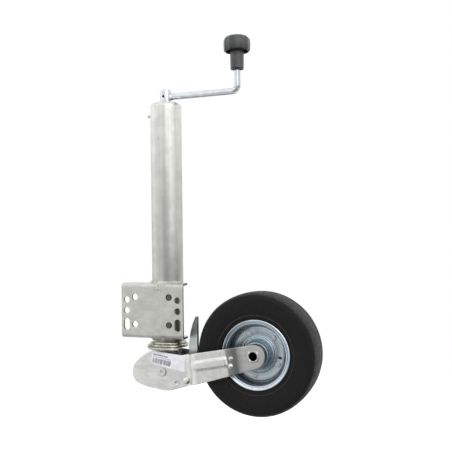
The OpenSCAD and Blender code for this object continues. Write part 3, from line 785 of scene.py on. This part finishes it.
def knob_tone(p):
    """Painted shade in the hollow under the head, in the foot of the sleeve, down the sleeve towards the
    head and along the hem, and painted highlights on the ridges of the head.
    """
    r, up = hypot(p.x, p.y), p.z - HEAD_LOW
    sleeve = r < 13.2
    if sleeve and (p.z < KNOB_LOW + 0.9 or r < 11.2 and p.z < KNOB_LOW + 4):
        return 0.1
    if sleeve:
        return 0.78 - 0.5 * smooth((up + 9) / 8)
    if r < HEAD_R and up < 9:
        return 0.1
    on_head = smooth((r - HEAD_R) / 1.0)
    # painted highlights on the ridges, and painted shade along the lower edge of the head
    ridge = 0.22 * smooth((flute(atan2(p.y, p.x)) - 0.82) / 0.15) * on_head
    hem = 0.1 + 0.9 * smooth((up - 1.2) / 1.6)
    return (1 + ridge - 0.1 * on_head) * hem


make("fluted_knob", *lathe(knob_section, 240, knob_bend), knob_look, "knob", "knob_plastic",
     ["crank_knob", "knob_cap"], on_knob, 38, knob_tone)


# --- Inner tube and spring ---

low, high = (corner.z for corner in box_mm("inner_tube"))
inner_section = fillet([(22.5, low), (25.5, low), (25.5, high), (22.5, high)], 0.5, 2)
make("lifting_tube", *lathe(inner_section, 144), inner_look, "strut", "galvanised_steel",
     ["inner_tube"], on_tube, 40)

WIRE_R = 3.0
COIL_TOP, COIL_LOW, COIL_TURNS = 30.0, 39.5, 2.25       # middle radius at its two ends
COIL_STEPS = 270
spring_low, spring_high = box_mm("buffer_spring")
coil, coil_radii = [], []
for i in range(COIL_STEPS + 1):
    share = i / COIL_STEPS
    xy = polar(0, 0, COIL_TOP + (COIL_LOW - COIL_TOP) * share, radians(-120 + 360 * COIL_TURNS * share))
    coil.append((*xy, spring_high.z - WIRE_R + (spring_low.z - spring_high.z + 2 * WIRE_R) * share))
    coil_radii.append(WIRE_R - 0.8 * (1 - smooth(min(i, COIL_STEPS - i) / 2.5)))
make("coil_spring", *sweep_tube(coil, coil_radii, 28), spring_look, "spring", "yellow_zinc",
     ["buffer_spring"], on_tube, 40)


# --- Fork ---

FORK_T = 4.0
ROOT, WIDE, END = 30.0, 44.0, 41.0       # middle of the sheet, from the wheel's middle plane
AXLE_U, AXLE_W = AXLE.x - PIVOT.x, AXLE.z - PIVOT.z     # u runs along X and w along Z from the pivot
RIB_MIDDLE, RIB_TILT = (103.5, 22.5), radians(10.4)
RIB_HALF, RIB_SIDE, RIB_H = 33.5, 9.4, 3.0
BUMPS = ((142.8, 34.3, 4.0, 2.2), (142.6, 20.9, 5.0, 3.2))      # u, w, radius, height
HALF_PIERCE = (32.2, -19.6, 4.1, 1.7)                           # u, w, radius, depth


def along_rib(u, w):
    """(u, w) as a distance along the rib and one across it, from its middle."""
    du, dw = u - RIB_MIDDLE[0], w - RIB_MIDDLE[1]
    c, s = cos(RIB_TILT), sin(RIB_TILT)
    return du * c + dw * s, -du * s + dw * c


def rib_height(u, w):
    """A long rounded rib, pressed outwards between the step and the joggle."""
    x, y = along_rib(u, w)
    r = 7.5 if x < 0 else 3.5
    qx, qy = abs(x) - (RIB_HALF - r), abs(y) - (RIB_SIDE - r)
    d = hypot(max(qx, 0), max(qy, 0)) + min(max(qx, qy), 0) - r
    return RIB_H * smooth((0.4 - d) / 4.4)


def fork_surface(u, w):
    """Height of the sheet's middle: a step, a joggle by the axle, the rib, two bumps and a half-pierce."""
    start = 55.4 + 0.17 * max(0.0, 16 - max(w, 2.0))
    h = ROOT + (WIDE - ROOT) * soft_ramp((u - start) / 14, 0.42)
    h += (END - WIDE) * soft_ramp((u - 135.5 + 0.15 * (w - 28)) / 20, 0.10)
    if 60 < u < 145:
        h += rib_height(u, w)
    for bu, bw, r, high in BUMPS:
        d = hypot(u - bu, w - bw) / r
        if d < 1:
            h += high * (1 - d * d) ** 1.5
    pu, pw, r, deep = HALF_PIERCE
    d = hypot(u - pu, w - pw)
    if d < r + 0.5:
        h -= deep * (1 - smooth((d - r + 0.5) / 1.0))
    return h


fork_outline = fillet(
    arc(-37.5, -3, 24.5, 150, 240, 8) + [(-28, -30.5)] + arc(8, 20, 55, -105, -68, 6)
    + arc(AXLE_U, AXLE_W - 1.2, 21.5, -73, 101.4, 24)
    + [(74, 40.2), (57, 36.3), (40, 33), (-8, 38.4), (-22, 38.2), (-29, 35.6), (-37, 30.8),
       (-46, 24.4), (-53, 17.6)],
    [0] * 9 + [6] + [0] * 32 + [14, 10, 8, 10, 6, 4, 4, 4, 4], 4)
fork_extra = []         # finer points round the half-pierce, the pivot and the bumps
for u, w, rings in (
        (*HALF_PIERCE[:2], ((3.5, 20), (4.0, 24), (4.6, 28), (5.3, 32))),
        (0, 0, ((8.6, 48), (9.3, 52), (10.0, 56), (10.8, 60))),
        *((bu, bw, ((r * 0.5, 12), (r * 0.8, 18), (r * 1.0, 22))) for bu, bw, r, _ in BUMPS)):
    for r, count in rings:
        fork_extra += ring_points(u, w, r, count)
fork_sheet = sheet_part(fork_outline, [ring_points(AXLE_U, AXLE_W, 10.02, 48)], fork_surface,
                        FORK_T, 1.6, 0.7, extra=fork_extra)


def fork_tone(p):
    """Painted shade in the joggle and along the end of the arm, on the rib's lower flank, and in crescents
    by the pivot and half-pierce, with painted highlights on the two bumps. p is (u, height, w).
    """
    past = p.x + 0.15 * (p.z - 28)
    band = smooth((past - 134.5) / 2.5) * (1 - smooth((past - 146) / 24))
    dark = 0.46 * band + 0.31 * smooth((past - 136) / 20)
    for u, w, r, _ in BUMPS:
        d = hypot(p.x - u, p.z - w)
        # painted highlight in the middle of each bump
        dark = dark * smooth((d - r * 0.55) / (r * 0.5)) - 0.12 * (1 - smooth(d / (r * 0.8)))
    du, dw = p.x - HALF_PIERCE[0], p.z - HALF_PIERCE[1]
    # painted shade: crescents on the sides of the half-pierce and of the pivot's ring that are turned from
    # the light
    marks = 0.6 * (1 - smooth(abs(hypot(du, dw) - 4.3) / 1.1)) * smooth((0.6 * du - 0.8 * dw + 1.5) / 4)
    marks += 0.8 * (1 - smooth(abs(hypot(p.x, p.z) - 9.5) / 1.3)) * smooth((p.x - 0.3 * abs(p.z) - 3.5) / 3)
    x, y = along_rib(p.x, p.z)
    along, below = (x + RIB_HALF) / (2 * RIB_HALF), y + RIB_SIDE
    flank = 0.4 * max(0.0, 1 - abs(below - 2.2) / 2.6)
    flank *= smooth((along - 0.08) / 0.1) * smooth((1.0 - along) / 0.1)
    return (1 - dark) * (1 - marks) * (1 - flank)


def fork_place(side):
    """(u, height, w) to the frame; side is -1 for the near plate and 1 for the far one."""
    return Matrix(((1, 0, 0, PIVOT.x), (0, side, 0, PIVOT.y), (0, 0, 1, PIVOT.z), (0, 0, 0, 1)))


for name, side, node in (("fork_arm_near", -1, "fork_plate_near"), ("fork_arm_far", 1, "fork_plate_far")):
    make(name, *fork_sheet, press_look, "fork", "galvanised_steel", [node], fork_place(side), 50, fork_tone)


def low_head(shank, head, half, high, dish):
    """The end of a pin with a low head, dished in the middle."""
    top = half + high
    return fillet([(shank, half - 0.2), (head, half), (head, half + high * 0.45),
                   (head - 0.5, half + high * 0.85), (head - 1.2, top), (head * 0.45, top),
                   (head * 0.3, top - dish), (0.01, top - dish)],
                  [0, 0.1, 0.3, 0.4, 0.6, 0.3, 0.3, 0], 3, closed=False)


def domed_head(shank, head, half, high):
    """The end of a pin with a domed head."""
    dome = [(head * cos(radians(a)), half + 0.5 + (high - 0.5) * sin(radians(a))) for a in range(0, 90, 9)]
    return [(shank, half - 0.2), (head, half), *dome, (0.01, half + high)]


def pivot_tone(p):
    """A dark line at the groove round the head, and painted shade in its dish."""
    r = hypot(p.x, p.y)
    return 0.3 if 8.1 < r < 8.7 else (0.66 if r < 2.9 else 0.97)


def stop_tone(p):
    """Darker on the side of the dome that is turned from the light."""
    return 1.0 - 0.6 * smooth((hypot(p.x, p.y) - 3.8) / 1.6) * smooth((0.9 * p.x - 0.4 * p.y + 1.0) / 4)


for name, node, end, segments, tone in (
        ("pivot_rivet", "pivot_pin", low_head(8.0, 8.6, 32.0, 0.55, 0.25), 72, pivot_tone),
        ("stop_rivet", "stop_pin", domed_head(5.0, 6.6, 32.0, 3.2), 60, stop_tone)):
    make(name, *lathe(mirrored(end) + end, segments, closed=False), press_look, "fork", "plain_steel",
         [node], shift(middle(node)) @ facing_near, 30, tone)


AXLE_HALF, AXLE_BORE = 43.0, 7.6


def stake(a):
    """1 where the lips are struck, at four points, and 0 between them."""
    return max(0.0, cos(4 * (a - radians(45)))) ** 4


def axle_bend(r, h, a):
    """The flared lips are spread outwards where they are struck."""
    if abs(h) > AXLE_HALF - 0.1 and r > 8:
        spread = stake(a) * (r - 8) / 3
        return r + 1.5 * spread, h - copysign(1.0, h) * spread
    return r, h


def axle_tone(p):
    """Painted highlights on the lips, brightest where they are struck, and painted shade round their edge.
    """
    return (0.7 if hypot(p.x, p.y) > 10.9 else 1.15) + 0.45 * stake(atan2(p.y, p.x))


axle_end = [(r, AXLE_HALF + past) for r, past in (
    (10.0, -5), (10.0, 0), (11.2, 0.05), (11.3, 0.6), (10.4, 1.35), (9.2, 1.5), (8.2, 1.2), (7.5, 0.2),
    (7.5, -3))]
axle_end = fillet(axle_end, [0, 0.2, 0.3, 0.4, 0.5, 0.5, 0.5, 0.8, 0], 4, closed=False)
hollow_axle = make("hollow_axle", *lathe(axle_end + mirrored(axle_end), 96, axle_bend), bore_look, "fork",
                   "plain_steel", ["axle_tube"], on_axle, 34, axle_tone)
line_bore(hollow_axle, AXLE, AXLE_BORE, AXLE_HALF - 0.6)

label_outline = fillet([(-20.5, 37.0), (-8, 37.4), (40, 31.8), (50.5, 33.8), (47, 2.2), (-20.5, 15.0)],
                       [1.5, 3, 6, 1.5, 1.5, 1.5], 3)
label = sheet_part(label_outline, [ring_points(0, 0, 9.6, 36)], fork_surface, 0.14, 2.4, 0.06,
                   FORK_T / 2 + 0.09)
make("label_sheet", *label, label_look, "fork", "label", ["blank_label"], fork_place(-1), 60)


def label_print():
    """Rows of plain bars and dashes, which say nothing."""
    rng = random.Random(11)
    c, s = cos(radians(-10)), sin(radians(-10))     # the rows run downwards, with the label
    marks = []

    def mark(x, y, wide, high):
        marks.append([(x, y), (x + wide, y), (x + wide, y + high), (x, y + high)])

    x = 0.0
    while x < 36:
        wide = rng.choice((0.7, 1.0, 1.6))
        mark(x, 0, wide, 9.6 + rng.uniform(-0.4, 0.4))
        x += wide + rng.choice((0.6, 0.9, 1.3))
    for row, high, reach in ((11.6, 1.0, 34), (14.8, 2.4, 26)):
        x = 0.5
        while x < reach:
            wide = rng.uniform(1.2, 3.6)
            mark(x, row, wide, high)
            x += wide + 1.1
    boxes = []
    for corners in marks:
        flat = [(-19.3 + x * c - y * s, 17.2 + x * s + y * c) for x, y in corners]
        verts = [(u, fork_surface(u, w) + FORK_T / 2 + level, w) for level in (0.165, 0.2) for u, w in flat]
        boxes.append((verts, capped_skin(4, 2)))
    return join(*boxes)


make("label_bars", *label_print(), ink_look, "fork", "label", (), fork_place(-1), 20)


# --- Wheel ---

TYRE_R = box_mm("tyre")[1].z - AXLE.z
LIP_R, LIP_Y, SEAT_R, SHEET = 64.0, 30.0, 54.5, 2.5     # the rim's lip, its seat and its thickness
JOINT = 5.0                    # plane where the rim halves meet, towards the near side
RIVET_R = 40                   # circle of the rivets and of the drain hole


def tyre_profile():
    """Closed section of the solid tyre: ribbed tread, crowned walls, and a ridge by the rim."""
    half = [(56.3, 27.1), (64.6, 27.2), (65.0, 27.6), (66.3, 28.6), (69.4, 29.5), (70.2, 29.8), (70.7, 31.0),
            (71.4, 31.3), (72.0, 31.0), (72.6, 29.95), (76, 30.9), (82, 31.9), (88, 32.4), (94, 32.5),
            (99.5, 32.3), (103.4, 31.5), (106.0, 30.3), (107.6, 28.9), (TYRE_R - 3.2, 27.4),
            (TYRE_R - 2.0, 25.8)]
    tread = []
    y = 25.4
    for groove in (23.6, 18.6, 13.6, 8.6):
        tread += [(TYRE_R - 1.1 * (y / 26) ** 2, y)]
        crown = TYRE_R - 1.1 * (groove / 26) ** 2
        tread += [(crown, groove + 0.9), (crown - 0.25, groove + 0.6), (crown - 1.1, groove + 0.3),
                  (crown - 1.1, groove - 0.3), (crown - 0.25, groove - 0.6), (crown, groove - 0.9)]
        y = groove - 2.5
    tread = [p for p in tread if p[1] < 25.0] + [(TYRE_R - 0.02, 4.0)]
    near = half + tread
    return near + mirrored(near) + [(54.6, -23.4), (54.6, 23.4)]


def tyre_tone(p):
    """Greyer on the tread, with a painted highlight on the ridge by the rim."""
    r = hypot(p.x, p.y)
    tread = smooth((r - TYRE_R + 4.6) / 1.0)
    return 0.55 + 3.0 * tread + 2.4 * smooth((r - 70.3) / 0.7) * smooth((72.4 - r) / 0.7)


make("solid_tyre", *lathe(fillet(tyre_profile(), 1.2, 2), 240), tyre_look, "wheel", "tyre_rubber", ["tyre"],
     on_axle, 40, tyre_tone)


def rim_profile(depth):
    """Closed section of a rim half whose disc lies on 0 and whose lip reaches the depth given."""
    boss = depth - 3
    front = [(LIP_R - 0.2, depth - 2.6), (LIP_R - 0.4, depth - 1.0), (LIP_R - 1.6, depth),
             (61.2, depth - 0.2), (59.0, depth - 1.5), (56.4, depth - 3.6), (53.6, depth - 7.0),
             (51.8, depth - 10), (50.6, SHEET + 5), (49.6, SHEET + 1.4)]
    front += [(r, SHEET + h) for r, h in (
        (47.6, 0), (46.9, 0.5), (46.2, 0), (35.9, 0), (35.3, -0.4), (34.7, 0), (33.8, 0), (32.2, 2.3),
        (29.6, -0.4), (27.4, 0.6), (25.6, 5))] + [(24.0, boss - 3), (22.4, boss), (17.02, boss)]
    back = [(17.02, boss - SHEET), (20.6, boss - SHEET), (22, boss - 6), (25, 0), (SEAT_R - 8, 0),
            (SEAT_R - 3.2, 0), (SEAT_R - 1.2, 3), (SEAT_R - 0.2, depth - 6), (SEAT_R + 1.4, depth - SHEET),
            (LIP_R - 0.4, depth - SHEET)]
    radii = [0.5, 0.7, 1.0, 3, 4, 5, 6, 5, 4, 1.6, 0.6, 0.4, 0.4, 0.4, 0.4, 0.4, 0.8, 0.9, 1.5, 1.5, 3, 3,
             1.2, 0.3, 0.3, 1, 2, 1.5, 0, 1.5, 2, 3, 2, 0.4]
    return fillet(front + back, radii, 4)


def rim_tone(p):
    """Painted highlights on the two pressed rings, darker on disc and boss, and painted shade down the wall
    of the well.
    """
    r = hypot(p.x, p.y)
    wall = smooth((r - 47.6) / 2) * (1 - smooth((r - 52.5) / 2.5))
    ring = max(0.0, 1 - abs(r - 32.1) / 1.5) + 1.1 * max(0.0, 1 - abs(r - 46.9) / 0.9)
    disc = smooth((r - 33.4) / 1.2) * (1 - smooth((r - 45.6) / 1.2))
    boss = 1 - smooth((r - 29.3) / 1.4)
    return 1.18 - 0.72 * wall + 0.5 * ring - 0.44 * disc - 0.36 * boss


def rim_half(name, node, side):
    depth = LIP_Y - side * JOINT
    profile = [(r, JOINT + side * h) for r, h in rim_profile(depth)]
    return make(name, *lathe(profile, 216), rim_look, "wheel", "blue_zinc", [node], on_axle, 45, rim_tone)


near_rim = rim_half("rim_dish_near", "rim_half_near", 1)
rim_half("rim_dish_far", "rim_half_far", -1)


def drill(obj, verts, faces, place, tone):
    """Cuts a closed shape out of a piece, and makes the faces that it leaves black, as painted shade inside
    the hole.
    """
    mesh = bpy.data.meshes.new("cutter")
    mesh.from_pydata([place @ Vector(v) * MM for v in verts], [], faces)
    with editing(mesh) as bm:
        bmesh.ops.remove_doubles(bm, verts=bm.verts, dist=2e-5)
        bmesh.ops.recalc_face_normals(bm, faces=bm.faces)
    mesh.materials.append(hole_black)
    add_tones(mesh, [tone] * len(mesh.vertices))
    cutter = new_object("cutter", mesh)
    obj.data.materials.append(hole_black)
    cut = obj.modifiers.new("cut", "BOOLEAN")
    cut.operation, cut.object, cut.solver, cut.material_mode = "DIFFERENCE", cutter, "EXACT", "TRANSFER"
    bpy.context.view_layer.update()
    result = bpy.data.meshes.new_from_object(obj.evaluated_get(bpy.context.evaluated_depsgraph_get()))
    with editing(result) as bm:
        for edge in bm.edges:
            if len({face.material_index for face in edge.link_faces}) > 1:
                edge.smooth = False
    obj.modifiers.clear()
    obj.data = result
    bpy.data.objects.remove(cutter)


# The drain hole goes through the near half alone, down to the far half's disc.
hole_at = on_axle @ shift((*polar(0, 0, RIVET_R, radians(-9)), JOINT + 1.4))
drill(near_rim, *lathe([(0.01, -1.25), (1.95, -1.25), (1.95, 2.0), (0.01, 2.0)], 32), hole_at, 0.74)

rivet_head = fillet([(0.01, -SHEET - 1.05), (4.2, -SHEET - 1.05), (5.0, -SHEET), (4.0, -SHEET + 0.3),
                     (4.0, SHEET - 0.3), (5.3, SHEET), (5.2, SHEET + 0.5), (4.7, SHEET + 1.0),
                     (0.01, SHEET + 1.1)], [0, 0.4, 0.2, 0, 0, 0.2, 0.3, 0.4, 0], 3, closed=False)
one_rivet = lathe(rivet_head, 40, closed=False)
five = [moved(one_rivet, shift((*polar(0, 0, RIVET_R, radians(45 + 72 * i)), JOINT))) for i in range(5)]
# tone: painted shade round the foot of each head, where it meets the disc
make("rim_rivet_set", *join(*five), rivet_look, "wheel", "blue_zinc", ["rim_rivets"], on_axle, 34,
     lambda p: 0.35 if abs(p.z - JOINT) < SHEET + 0.7 else 1.1)


# --- Stage ---

def set_camera():
    """Stands where the photo was taken from."""
    data = bpy.data.cameras.new("camera")
    data.sensor_width, data.lens = 36.0, 52.0
    data.clip_start, data.clip_end = 0.05, 50.0
    camera = new_object("camera", data)
    azimuth, pitch, roll = 19.98, 0.95, -0.74
    camera.matrix_world = (shift((0.5559, -1.1124, 0.1382)) @ rotation(azimuth, "Z")
                           @ rotation(90 + pitch, "X") @ rotation(roll, "Z"))
    bpy.context.scene.camera = camera


def set_floor():
    """A pale disc that reflections leave out."""
    mesh = bpy.data.meshes.new("floor")
    with editing(mesh) as bm:
        bmesh.ops.create_circle(bm, cap_ends=True, segments=96, radius=2.6)
    g = new_material("pale_floor")
    g.set(g.shader["Base Color"], g.mix(g.noise(3.0), (0.92, 0.92, 0.92, 1), (0.95, 0.95, 0.95, 1)))
    g.set(g.shader["Roughness"], 0.9)
    g.set(g.shader["Emission Color"], (1, 1, 1, 1))
    g.set(g.shader["Emission Strength"], 0.45)
    mesh.materials.append(g.material)
    floor = new_object("floor", mesh)
    floor.location = (0.12, 0.03, FLOOR_Z)
    floor.visible_glossy = False


def set_studio():
    """A pale room with a softbox on each side, and dark flags that the bright metal mirrors."""
    world = bpy.data.worlds.new("studio")
    world.use_nodes = True
    bpy.context.scene.world = world
    g = Graph(world.node_tree)
    way = g.node("ShaderNodeTexCoord").outputs["Generated"]
    height = g.node("ShaderNodeSeparateXYZ", args=(way,)).outputs["Z"]

    def spot(azimuth, elevation, inner, outer, strength):
        """A round patch that fades from the inner to the outer angle; azimuth 0 is -Y and 90 is +X."""
        a, e = radians(azimuth), radians(elevation)
        facing = g.vector("DOT_PRODUCT", way, (sin(a) * cos(e), -cos(a) * cos(e), sin(e)))
        return g.ramp(facing, cos(radians(outer)), cos(radians(inner)), 0.0, strength)

    light = g.plus(g.ramp(height, -0.75, -0.20, 0.60, 0.88), g.ramp(height, -0.05, 0.45, 0.0, 0.25))
    for softbox in ((-80, 10, 8, 40, 0.2), (48, 20, 22, 42, 0.42)):
        light = g.plus(light, spot(*softbox))
    for flag in ((14, -28, 14, 40, 0.8), (70, -30, 14, 36, 0.3), (40, 10, 3, 9, 0.6)):
        light = g.times(light, g.math("SUBTRACT", 1.0, spot(*flag)))
    studio, white = (g.add("ShaderNodeBackground", Color=(1.0, 1.0, 1.0, 1.0), Strength=strength)
                     for strength in (light, 1.0))
    seen = g.node("ShaderNodeLightPath").outputs["Is Camera Ray"]
    mixed = g.add("ShaderNodeMixShader", args=(seen, studio, white))
    output = next(n for n in world.node_tree.nodes if n.type == "OUTPUT_WORLD")
    world.node_tree.links.new(mixed, output.inputs["Surface"])


def set_lamp():
    """A square white area lamp above and to the right of the camera."""
    data = bpy.data.lights.new("key", "AREA")
    data.size, data.energy = 1.2, 4
    lamp = new_object("key", data)
    lamp.location = (1.3, -1.2, 1.3)
    lamp.rotation_mode = "QUATERNION"
    lamp.rotation_quaternion = (Vector((0.1, 0.0, 0.1)) - lamp.location).to_track_quat("-Z", "Y")


set_camera()
set_floor()
set_studio()
set_lamp()
bpy.context.scene.view_settings.view_transform = "Standard"
